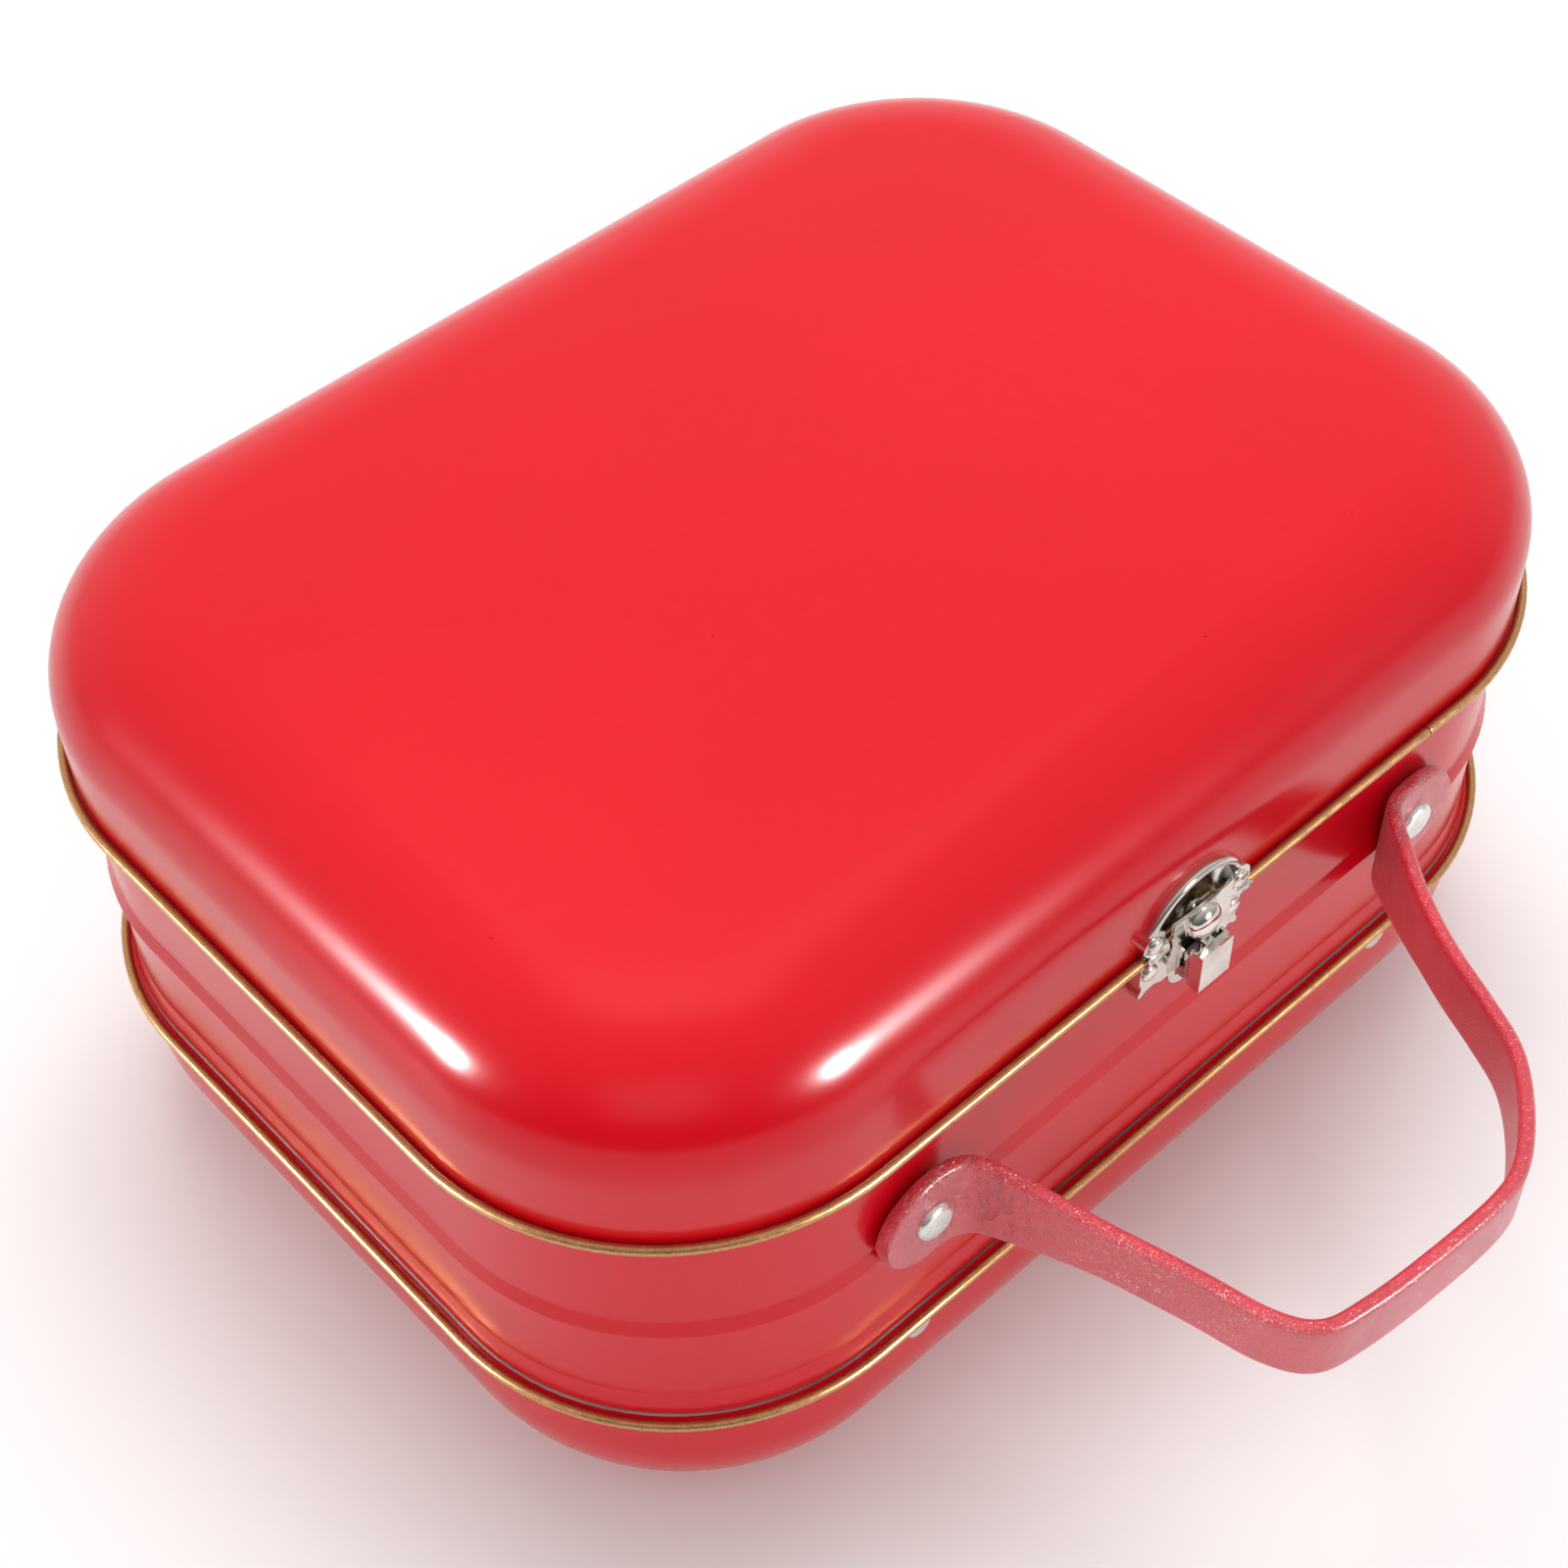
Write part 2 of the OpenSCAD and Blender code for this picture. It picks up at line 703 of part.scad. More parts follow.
// Hinge pins with both ends peened over
module hinge_pins() {
    color([0.72, 0.72, 0.72]) at_hinges() {
        bar(hinge_pin_d / 2, -hinge_w / 2 - 0.3, hinge_w / 2 + 0.3, 0, 0);
        for (side = [-1, 1]) rotate([0, side * 90, 0]) translate([0, 0, hinge_w / 2 + 0.2])
            dome(hinge_pin_d / 2 + 0.5, 0.8);
    }
}

module hinge_body_rivets() {
    color([0.80, 0.79, 0.77]) for (sx = [-1, 1], dx = [-1, 1])
        back_at(sx * hinge_x + dx * hinge_rivet_x, band_front + leaf_t, body_leaf_rivet_z)
            rivet(small_r, small_head, leaf_t + sheet_t, small_tail);
}

module hinge_lid_rivets() {
    color([0.80, 0.79, 0.77]) for (sx = [-1, 1], dx = [-1, 1])
        back_at(sx * hinge_x + dx * hinge_rivet_x, skirt_front + leaf_t, lid_leaf_rivet_z)
            rivet(small_r, small_head, leaf_t + sheet_t, small_tail);
}

// --------------------------------------------------------------- assembly

bottom_pan();
pan_rim_wire();
body_wall();
neck_hem_wire();
pan_rivets();
lid_shell();
lid_rim_wire();
handle_tabs();
handle_strap();
handle_rivets();
handle_washers();
strike_plate();
strike_stud();
strike_rivets();
latch_base_plate();
latch_base_rivets();
hasp();
hasp_pin();
hasp_spring();
hinge_body_leaves();
hinge_lid_leaves();
hinge_pins();
hinge_body_rivets();
hinge_lid_rivets();
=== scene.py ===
import json
import math

import bmesh
import bpy
import numpy as np
from mathutils import Matrix, Vector


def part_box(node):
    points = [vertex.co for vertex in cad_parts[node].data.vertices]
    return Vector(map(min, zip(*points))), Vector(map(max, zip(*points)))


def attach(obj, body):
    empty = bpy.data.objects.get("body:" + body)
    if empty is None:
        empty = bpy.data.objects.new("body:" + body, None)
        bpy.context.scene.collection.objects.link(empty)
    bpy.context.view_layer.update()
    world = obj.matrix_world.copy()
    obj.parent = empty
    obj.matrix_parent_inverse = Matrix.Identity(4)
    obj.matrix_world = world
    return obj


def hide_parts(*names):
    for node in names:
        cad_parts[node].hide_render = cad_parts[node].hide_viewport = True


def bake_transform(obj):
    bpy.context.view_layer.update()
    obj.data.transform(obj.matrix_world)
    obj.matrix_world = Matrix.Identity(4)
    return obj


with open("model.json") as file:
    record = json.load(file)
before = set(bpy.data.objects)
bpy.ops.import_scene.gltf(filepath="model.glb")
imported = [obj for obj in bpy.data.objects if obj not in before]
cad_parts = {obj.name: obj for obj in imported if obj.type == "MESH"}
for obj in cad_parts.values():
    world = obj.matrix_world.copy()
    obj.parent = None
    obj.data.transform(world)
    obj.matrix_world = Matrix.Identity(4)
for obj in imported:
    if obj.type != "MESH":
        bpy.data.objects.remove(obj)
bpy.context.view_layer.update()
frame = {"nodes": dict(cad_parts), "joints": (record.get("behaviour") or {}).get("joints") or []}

# ------------------------------------------------------------------ sizes, metres
MM = 0.001
lid_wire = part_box("lid_rim_wire")
pan_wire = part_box("pan_rim_wire")
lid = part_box("lid_shell")
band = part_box("body_wall")
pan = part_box("bottom_pan")
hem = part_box("neck_hem_wire")
strap_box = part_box("handle_strap")
tab_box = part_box("handle_tabs")
cap_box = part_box("handle_rivets")

WIRE_R = (lid_wire[1].z - lid_wire[0].z) / 2
HALF_L = lid_wire[1].x - WIRE_R
HALF_W = lid_wire[1].y - WIRE_R
CORNER_R = 53 * MM
SHEET_T = 0.5 * MM
LID_WIRE_Z = (lid_wire[0].z + lid_wire[1].z) / 2
PAN_WIRE_Z = (pan_wire[0].z + pan_wire[1].z) / 2
TOP_Z = lid[1].z
SKIRT_IN = HALF_L - lid[1].x
PAN_IN = HALF_L - pan[1].x
BAND_GAP = 1.6 * MM
BAND_IN = SKIRT_IN + BAND_GAP
NECK_TOP = band[1].z
SEAT_BOTTOM = band[0].z
HEM_R = (hem[1].z - hem[0].z) / 2
HANDLE_Z = (strap_box[0].z + strap_box[1].z) / 2
STRAP_T = 3 * MM
TAB_R = (tab_box[1].z - tab_box[0].z) / 2
TAB_BACK = tab_box[1].y
LOOP_Y = strap_box[0].y
CAP_R = (cap_box[1].z - cap_box[0].z) / 2
RIVET_X = cap_box[1].x - CAP_R
HASP_PIN = [j for j in frame["joints"] if j["name"] == "hasp_hinge"][0]["pos_m"]
STRIKE_STAND = 1.75 * MM
BASE_STAND = 2.7 * MM
PLATE_T = 0.6 * MM
PAD_W = 8 * MM
PAD_TOP = LID_WIRE_Z - 1.9 * MM
HASP_FRONT = lid_wire[0].y - 0.25 * MM - PLATE_T
DOME_Z = LID_WIRE_Z + 2.3 * MM

STRAIGHT_X = HALF_L - CORNER_R
STRAIGHT_Y = HALF_W - CORNER_R


# --------------------------------------------------------------------- node graphs
class Graph:
    """A material's node tree, with one short call for each node."""

    def __init__(self, name):
        self.material = bpy.data.materials.new(name)
        self.material.use_nodes = True
        self.tree = self.material.node_tree
        self.shader = self.tree.nodes["Principled BSDF"]
        self.place = self.node("ShaderNodeTexCoord").outputs["Object"]

    def node(self, kind, settings=None, **inputs):
        made = self.tree.nodes.new(kind)
        for key, value in (settings or {}).items():
            setattr(made, key, value)
        for key, value in inputs.items():
            self.feed(made.inputs[key.replace("_", " ")], value)
        return made

    def feed(self, socket, value):
        if isinstance(value, bpy.types.NodeSocket):
            self.tree.links.new(value, socket)
        else:
            socket.default_value = value

    def noise(self, per_metre, detail=3.0, roughness=0.55, vector=None):
        return self.node("ShaderNodeTexNoise", Vector=vector or self.place, Scale=per_metre,
                         Detail=detail, Roughness=roughness).outputs["Fac"]

    def stretched(self, x, y, z):
        return self.node("ShaderNodeMapping", Vector=self.place, Scale=(x, y, z)).outputs[0]

    def cells(self, per_metre, feature="F1", vector=None):
        return self.node("ShaderNodeTexVoronoi", {"feature": feature},
                         Vector=vector or self.place, Scale=per_metre).outputs["Distance"]

    def band(self, value, low, high, out_low=0.0, out_high=1.0):
        made = self.node("ShaderNodeMapRange", {"interpolation_type": "SMOOTHSTEP"})
        for key, given in zip(("Value", "From Min", "From Max", "To Min", "To Max"),
                              (value, low, high, out_low, out_high)):
            self.feed(made.inputs[key], given)
        return made.outputs[0]

    def math(self, operation, a, b=0.0):
        made = self.node("ShaderNodeMath", {"operation": operation})
        self.feed(made.inputs[0], a)
        self.feed(made.inputs[1], b)
        return made.outputs[0]

    def mix(self, factor, a, b):
        made = self.node("ShaderNodeMix", {"data_type": "RGBA"})
        for index, given in ((0, factor), (6, a), (7, b)):
            self.feed(made.inputs[index], given)
        return made.outputs[2]

    def attribute(self, name):
        return self.node("ShaderNodeAttribute", {"attribute_name": name}).outputs["Fac"]

    def bump(self, height, depth, strength=1.0, normal=None):
        made = self.node("ShaderNodeBump", Height=height, Distance=depth, Strength=strength)
        if normal is not None:
            self.feed(made.inputs["Normal"], normal)
        return made.outputs[0]

    def surface(self, **inputs):
        for key, value in inputs.items():
            self.feed(self.shader.inputs[key.replace("_", " ")], value)
        return self.material


def rgb(red, green, blue):
    """Linear colour from the everyday 0 to 255 values."""
    def linear(v):
        v /= 255
        return v / 12.92 if v <= 0.04045 else ((v + 0.055) / 1.055) ** 2.4
    return (linear(red), linear(green), linear(blue), 1.0)


def red_enamel():
    g = Graph("red_enamel")
    drift = g.noise(9, 2)
    fine = g.noise(260, 4)
    tone = g.mix(g.band(drift, 0.35, 0.65), rgb(217, 4, 26), rgb(223, 6, 29))
    tone = g.mix(g.band(fine, 0.3, 0.75, 0.0, 0.10), tone, rgb(196, 6, 15))
    speck = g.band(g.cells(95), 0.030, 0.012)
    rare = g.band(g.noise(31, 0), 0.62, 0.66)
    tone = g.mix(g.math("MULTIPLY", speck, rare), tone, rgb(110, 4, 9))
    rough = g.band(g.noise(22, 4), 0.3, 0.7, 0.19, 0.22)
    peel = g.noise(520, 2, 0.5)
    grain = g.noise(1700, 1, 0.5)
    relief = g.bump(grain, 0.0025 * MM, 0.8, g.bump(peel, 0.004 * MM, 0.8))
    return g.surface(Base_Color=tone, Roughness=rough, Normal=relief, Specular_IOR_Level=0.34)


def tinplate():
    g = Graph("tinplate_inside")
    drawn = g.noise(60, 4, 0.6, g.stretched(1.0, 1.0, 0.06))
    spangle = g.noise(75, 3)
    tone = g.mix(g.band(spangle, 0.2, 0.7), rgb(158, 157, 153), rgb(176, 175, 171))
    tone = g.mix(g.band(g.noise(9, 2), 0.45, 0.75, 0.0, 0.4), tone, rgb(150, 147, 140))
    rough = g.band(drawn, 0.3, 0.7, 0.46, 0.56)
    relief = g.bump(drawn, 0.008 * MM, 0.5, g.bump(g.noise(900, 2), 0.003 * MM, 0.6))
    return g.surface(Base_Color=tone, Metallic=0.95, Roughness=rough, Normal=relief)


def gilt():
    g = Graph("gilt_wire")
    flakes = g.cells(3600)
    tone = g.mix(g.band(flakes, 0.15, 0.6), rgb(216, 170, 118), rgb(188, 138, 92))
    tone = g.mix(g.band(g.noise(90, 4), 0.55, 0.8, 0.0, 0.35), tone, rgb(158, 106, 68))
    rough = g.band(g.noise(500, 3), 0.3, 0.7, 0.26, 0.36)
    relief = g.bump(flakes, 0.003 * MM, 0.8, g.bump(g.noise(160, 2), 0.02 * MM, 0.6))
    return g.surface(Base_Color=tone, Metallic=0.85, Roughness=rough, Normal=relief)


def nickel():
    g = Graph("nickel_plate")
    cloud = g.noise(170, 4)
    tone = g.mix(g.band(cloud, 0.35, 0.7), rgb(230, 226, 219), rgb(206, 199, 189))
    handled = g.band(g.noise(420, 5, 0.65), 0.42, 0.72, 0.10, 0.26)
    scratch = g.noise(900, 2, 0.5, g.stretched(0.06, 1.0, 1.0))
    relief = g.bump(scratch, 0.006 * MM, 0.5, g.bump(g.noise(330, 2), 0.02 * MM, 0.6))
    return g.surface(Base_Color=tone, Metallic=1.0, Roughness=handled, Normal=relief)


# Dark metal that stands in for shade: painted shade inside the hasp's pad and at the back of the
# opening between the lugs.
def recess_shade_metal():
    g = Graph("latch_painted_shade")
    cloud = g.noise(400, 3)
    tone = g.mix(g.band(cloud, 0.3, 0.7), rgb(44, 38, 35), rgb(66, 58, 53))
    return g.surface(Base_Color=tone, Metallic=0.7, Roughness=g.band(cloud, 0.3, 0.7, 0.4, 0.6),
                     Normal=g.bump(g.noise(900, 2), 0.01 * MM, 0.6))


def cap_metal():
    g = Graph("rivet_cap_metal")
    cloud = g.noise(300, 4)
    tone = g.mix(g.band(cloud, 0.3, 0.7), rgb(232, 231, 227), rgb(212, 210, 205))
    rough = g.band(g.noise(800, 4, 0.6), 0.35, 0.7, 0.22, 0.38)
    relief = g.bump(g.noise(1500, 2), 0.006 * MM, 0.6, g.bump(g.noise(400, 2), 0.02 * MM, 0.6))
    return g.surface(Base_Color=tone, Metallic=0.85, Roughness=rough, Normal=relief)


def zinc():
    g = Graph("zinc_steel")
    crystal = g.cells(1400)
    tone = g.mix(g.band(crystal, 0.2, 0.7), rgb(160, 162, 166), rgb(188, 190, 192))
    rough = g.band(g.noise(600, 4), 0.3, 0.7, 0.3, 0.48)
    return g.surface(Base_Color=tone, Metallic=1.0, Roughness=rough,
                     Normal=g.bump(crystal, 0.01 * MM, 0.6))


def spring_steel():
    g = Graph("spring_steel")
    drawn = g.noise(2600, 3)
    tone = g.mix(g.band(drawn, 0.3, 0.7), rgb(112, 112, 116), rgb(146, 146, 150))
    rough = g.band(g.noise(900, 3), 0.3, 0.7, 0.22, 0.36)
    return g.surface(Base_Color=tone, Metallic=1.0, Roughness=rough,
                     Normal=g.bump(drawn, 0.008 * MM, 0.6))


def leather():
    g = Graph("red_leather_face")
    creased = g.attribute("crease")
    pores = g.cells(1350, "DISTANCE_TO_EDGE")
    warp = g.node("ShaderNodeTexNoise", Vector=g.place, Scale=120.0, Detail=3.0)
    wander = g.node("ShaderNodeVectorMath", {"operation": "SCALE"})
    g.feed(wander.inputs[0], warp.outputs["Color"])
    wander.inputs["Scale"].default_value = 9 * MM
    along = g.node("ShaderNodeVectorMath", {"operation": "ADD"})
    g.feed(along.inputs[0], g.stretched(1.5, 1.5, 0.42))
    g.feed(along.inputs[1], wander.outputs[0])
    folds = g.noise(310, 5, 0.62, along.outputs[0])
    ridge = g.math("MULTIPLY", g.band(folds, 0.30, 0.56), creased)
    patch = g.band(g.noise(55, 3), 0.3, 0.7)
    tone = g.mix(patch, rgb(214, 26, 50), rgb(230, 40, 64))
    tone = g.mix(g.math("MULTIPLY", g.band(pores, 0.10, 0.0), 0.35), tone, rgb(158, 16, 32))
    # Painted shade: darker red in the valleys of the creases, where the crease bump is low.
    crease_shade = g.math("MULTIPLY", g.band(folds, 0.46, 0.34), g.math("MULTIPLY", creased, 0.4))
    tone = g.mix(crease_shade, tone, rgb(150, 12, 32))
    rough = g.band(g.noise(160, 4), 0.3, 0.7, 0.32, 0.46)
    relief = g.bump(g.band(pores, 0.0, 0.16), 0.10 * MM, 0.9)
    relief = g.bump(g.noise(420, 4), 0.08 * MM, 0.6, relief)
    relief = g.bump(ridge, 0.55 * MM, 1.0, relief)
    return g.surface(Base_Color=tone, Roughness=rough, Normal=relief, Specular_IOR_Level=1.0,
                     Sheen_Weight=0.4, Sheen_Roughness=0.4, Sheen_Tint=rgb(255, 190, 200),
                     Coat_Weight=0.5, Coat_Roughness=0.3)


def edge_paint():
    g = Graph("strap_edge_paint")
    build = g.noise(140, 3)
    tone = g.mix(g.band(build, 0.3, 0.7), rgb(226, 8, 32), rgb(234, 14, 42))
    rough = g.band(g.noise(300, 3), 0.3, 0.7, 0.42, 0.54)
    relief = g.bump(g.noise(900, 3), 0.012 * MM, 0.7, g.bump(build, 0.12 * MM, 0.6))
    return g.surface(Base_Color=tone, Roughness=rough, Normal=relief, Specular_IOR_Level=0.03)


def pale_floor():
    g = Graph("pale_floor")
    tone = g.mix(g.band(g.noise(3, 3), 0.3, 0.7), rgb(240, 240, 240), rgb(244, 244, 244))
    rough = g.band(g.noise(40, 3), 0.3, 0.7, 0.55, 0.65)
    return g.surface(Base_Color=tone, Roughness=rough, Specular_IOR_Level=0.2,
                     Normal=g.bump(g.noise(300, 2), 0.01 * MM, 0.3))


ENAMEL = red_enamel()
INSIDE = tinplate()
GILT = gilt()
NICKEL = nickel()
PAINTED_SHADE = recess_shade_metal()
CAP = cap_metal()
ZINC = zinc()
SPRING = spring_steel()
LEATHER = leather()
EDGE = edge_paint()


# -------------------------------------------------------------------- mesh helpers
def make_object(name, vertices, faces, materials, slots=None, smooth=True):
    mesh = bpy.data.meshes.new(name)
    mesh.from_pydata([tuple(v) for v in vertices], [], faces)
    for material in materials:
        mesh.materials.append(material)
    if slots is not None:
        mesh.polygons.foreach_set("material_index", slots)
    work = bmesh.new()
    work.from_mesh(mesh)
    bmesh.ops.remove_doubles(work, verts=work.verts, dist=1e-6)
    bmesh.ops.recalc_face_normals(work, faces=work.faces)
    for face in work.faces:
        face.smooth = smooth
    work.to_mesh(mesh)
    work.free()
    made = bpy.data.objects.new(name, mesh)
    bpy.context.scene.collection.objects.link(made)
    return made


def sharpen(obj, degrees=38):
    """Smooth shading, broken where two faces meet at more than that angle."""
    work = bmesh.new()
    work.from_mesh(obj.data)
    for edge in work.edges:
        if len(edge.link_faces) == 2:
            edge.smooth = edge.calc_face_angle() < math.radians(degrees)
    work.to_mesh(obj.data)
    work.free()


def stations(extra=()):
    """Where a section stands round the case: the nearest point of the straight-sided core,
    and the outward direction there. extra adds stations along the front side."""
    arcs = 22
    core, out = [], []

    def side(start, end, count, normal, more=()):
        shares = sorted({k / count for k in range(count)} | set(more))
        for t in shares:
            core.append((start[0] + (end[0] - start[0]) * t, start[1] + (end[1] - start[1]) * t))
            out.append(normal)

    def corner(cx, cy, first):
        for k in range(arcs):
            a = math.radians(first + 90 * k / arcs)
            core.append((cx, cy))
            out.append((math.cos(a), math.sin(a)))

    sx, sy = STRAIGHT_X, STRAIGHT_Y
    more = [(x + sx) / (2 * sx) for x in extra]
    side((-sx, -sy), (sx, -sy), 30, (0, -1), more)
    corner(sx, -sy, -90)
    side((sx, -sy), (sx, sy), 18, (1, 0))
    corner(sx, sy, 0)
    side((sx, sy), (-sx, sy), 30, (0, 1))
    corner(-sx, sy, 90)
    side((-sx, sy), (-sx, -sy), 18, (-1, 0))
    corner(-sx, -sy, 180)
    return np.array(core), np.array(out)


def rings(profile, extra=(), shape=None):
    """Vertices of a section carried round the case. A section point is (inset, height)."""
    core, out = stations(extra)
    count = len(core)
    made = []
    for k, (inset, z) in enumerate(profile):
        reach = np.full(count, CORNER_R - inset)
        height = np.full(count, z)
        if shape is not None:
            reach, height = shape(core, out, reach, height, k)
        made.append(np.c_[core + out * reach[:, None], height])
    return np.concatenate(made), count


def swept_faces(count, rows):
    """Faces of a closed section carried round, rows points to the section."""
    return [(r * count + k, r * count + (k + 1) % count,
             ((r + 1) % rows) * count + (k + 1) % count, ((r + 1) % rows) * count + k)
            for r in range(rows) for k in range(count)]


def rounded(points, steps=6):
    """A section's corners turned into arcs. A point is (inset, height, radius)."""
    made = [points[0][:2]]
    for before, here, after in zip(points, points[1:], points[2:]):
        p, q, s = (np.array(v[:2]) for v in (before, here, after))
        a, b = (p - q), (s - q)
        la, lb = np.linalg.norm(a), np.linalg.norm(b)
        a, b = a / la, b / lb
        turn = math.acos(float(np.clip(a @ b, -1, 1)))
        cut = min(here[2] / math.tan(turn / 2), 0.45 * la, 0.45 * lb)
        start, end = q + a * cut, q + b * cut
        for k in range(steps + 1):
            t = k / steps
            made.append(tuple((1 - t) ** 2 * start + 2 * t * (1 - t) * q + t * t * end))
    return made + [points[-1][:2]]


def offset(profile, distance):
    """The same section moved sideways, to its left as it is listed."""
    p = np.array(profile)
    step = np.gradient(p, axis=0)
    step /= np.linalg.norm(step, axis=1)[:, None]
    return [tuple(v) for v in p + distance * np.c_[-step[:, 1], step[:, 0]]]


def pressing(name, outer, inner, closed_cap=None):
    """A sheet pressing: outer face painted, inner face bare tin. closed_cap is the height of
    (outer, inner) where the section ends in the middle of a flat panel."""
    path = list(outer) + list(inner)[::-1]
    points, count = rings(path)
    rows = len(path)
    faces = swept_faces(count, rows)
    slots = [0 if k // count < len(outer) - 1 else 1 for k in range(len(faces))]
    if closed_cap is not None:
        joint = len(outer) - 1
        keep = [k for k in range(len(faces)) if k // count != joint]
        faces, slots = [faces[k] for k in keep], [slots[k] for k in keep]
        points = list(points)
        for z, slot in ((closed_cap[0], 0), (closed_cap[1], 1)):
            nx, ny = 30, 18
            first = len(points)
            for j in range(ny + 1):
                for i in range(nx + 1):
                    points.append((STRAIGHT_X * (2 * i / nx - 1), STRAIGHT_Y * (2 * j / ny - 1), z))
            for j in range(ny):
                for i in range(nx):
                    k = first + j * (nx + 1) + i
                    faces.append((k, k + 1, k + nx + 2, k + nx + 1))
                    slots.append(slot)
    made = make_object(name, points, faces, [ENAMEL, INSIDE], slots)
    sharpen(made, 50)
    return made


def circle(inset, z, radius, count=20):
    return [(inset - radius * math.cos(2 * math.pi * k / count),
             z + radius * math.sin(2 * math.pi * k / count)) for k in range(count)]


def oval_edge(inset, z_flat, wide, tall, steps=22):
    """Quarter of an oval from the flat panel's edge out to the upright wall. tall is negative
    for the pan, whose flat is below."""
    made = []
    for k in range(steps + 1):
        a = math.pi / 2 * k / steps
        made.append((inset + wide * (1 - math.sin(a)), z_flat - tall * (1 - math.cos(a))))
    return made


def softened(name, node, material, width):
    """A copy of a CAD node with its edges broken, as a stamped and plated part has."""
    mesh = frame["nodes"][node].data.copy()
    mesh.materials.clear()
    mesh.materials.append(material)
    work = bmesh.new()
    work.from_mesh(mesh)
    bmesh.ops.remove_doubles(work, verts=work.verts, dist=2e-6)
    bmesh.ops.dissolve_limit(work, angle_limit=math.radians(1.5), verts=work.verts,
                             edges=work.edges)
    for face in work.faces:
        face.smooth = True
    for edge in work.edges:
        if len(edge.link_faces) == 2:
            edge.smooth = edge.calc_face_angle() < math.radians(35)
    work.to_mesh(mesh)
    work.free()
    mesh.name = name
    made = bpy.data.objects.new(name, mesh)
    bpy.context.scene.collection.objects.link(made)
    bevel = made.modifiers.new("edges", "BEVEL")
    bevel.width = width
    bevel.segments = 2
    bevel.limit_method = "ANGLE"
    bevel.angle_limit = math.radians(35)
    bevel.harden_normals = True
    return made


def turned(profile, places, normal, name, material, segments=40):
    """Turned parts: profile (radius, height) about an axis along normal, one at each place."""
    points, faces = [], []
    axis = Vector(normal)
    turn = axis.to_track_quat("Z", "Y")
    for place in places:
        first = len(points)
        for radius, height in profile:
            for k in range(segments):
                a = 2 * math.pi * k / segments
                local = Vector((radius * math.cos(a), radius * math.sin(a), height))
                points.append(Vector(place) + turn @ local)
        for r in range(len(profile) - 1):
            for k in range(segments):
                n = (k + 1) % segments
                faces.append((first + r * segments + k, first + r * segments + n,
                              first + (r + 1) * segments + n, first + (r + 1) * segments + k))
    made = make_object(name, points, faces, [material])
    sharpen(made, 40)
    return made


def cap_profile(radius, height, brow, shank_r, grip, tail_r, tail_h):
    """Half section of a capped rivet, from the crown down to the clinched tail."""
    made = [(1e-7, height)]
    flat = radius - brow
    crown = 0.10 * height
    for k in range(1, 7):
        made.append((flat * k / 6, height - crown * (k / 6) ** 2))
    low = height - crown
    for k in range(1, 9):
        a = math.pi / 2 * k / 8
        made.append((flat + brow * math.sin(a), low * math.cos(a) ** 0.8 if k < 8 else 0.0))
    made += [(shank_r, 0.0), (shank_r, -grip), (tail_r, -grip), (tail_r, -grip - 0.7 * tail_h),
             (0.8 * tail_r, -grip - tail_h), (1e-7, -grip - tail_h)]
    return made


def finish_piece(obj, body, slot, *nodes):
    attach(obj, body)
    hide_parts(*nodes)


# --------------------------------------------------------------------------- case
def build_lid():
    wide, tall, crown = 28 * MM, 21.5 * MM, 0.35 * MM
    flat_in = SKIRT_IN + wide
    panel = []
    for k in range(8):
        t = k / 8
        inset = CORNER_R + (flat_in - CORNER_R) * t
        panel.append((inset, TOP_Z - crown * t ** 2))
    roll = [(i, z - crown) for i, z in oval_edge(SKIRT_IN, TOP_Z, wide, tall)]
    skirt = [(SKIRT_IN, z) for z in np.linspace(roll[-1][1], LID_WIRE_Z - 0.3 * MM, 8)[1:]]
    outer = panel + roll + skirt
    inner = offset(outer, SHEET_T)
    inner[0] = (CORNER_R, TOP_Z - SHEET_T)
    made = pressing("lid_pressing", outer[::-1], inner[::-1], (TOP_Z, TOP_Z - SHEET_T))
    finish_piece(made, "lid", "red_enamel", "lid_shell")


def build_pan():
    wide, tall = 23 * MM, 27.5 * MM
    flat_in = PAN_IN + wide
    panel = [(CORNER_R + (flat_in - CORNER_R) * k / 8, 0.0) for k in range(8)]
    roll = oval_edge(PAN_IN, 0.0, wide, -tall)
    wall = [(PAN_IN, z) for z in np.linspace(tall, PAN_WIRE_Z + 0.3 * MM, 8)[1:]]
    outer = panel + roll + wall
    inner = offset(outer, -SHEET_T)
    inner[0] = (CORNER_R, SHEET_T)
    made = pressing("pan_pressing", outer[::-1], inner[::-1], (0.0, SHEET_T))
    finish_piece(made, "case", "red_enamel", "bottom_pan")


def build_band():
    bead_drop = 27.2 * MM
    bead_top = LID_WIRE_Z - bead_drop
    bead_out, bead_h = 1.2 * MM, 3.3 * MM
    tuck = PAN_IN + SHEET_T + 0.05 * MM
    outline = [
        (BAND_IN, NECK_TOP, 0),
        (BAND_IN, bead_top, 2.2 * MM),
        (BAND_IN - bead_out, bead_top - bead_h, 0.5 * MM),
        (BAND_IN - 0.25 * MM, bead_top - bead_h - 1.5 * MM, 0.8 * MM),
        (BAND_IN - 0.1 * MM, PAN_WIRE_Z + 6.4 * MM, 3 * MM),
        (BAND_IN - bead_out + 0.15 * MM, PAN_WIRE_Z + 2.0 * MM, 0.5 * MM),
        (tuck, PAN_WIRE_Z + 1.0 * MM, 0.3 * MM),
        (tuck, SEAT_BOTTOM, 0),
    ]
    outer = rounded(outline)
    inner = offset(outer, SHEET_T)
    made = pressing("body_band", outer, inner)
    finish_piece(made, "case", "red_enamel", "body_wall")


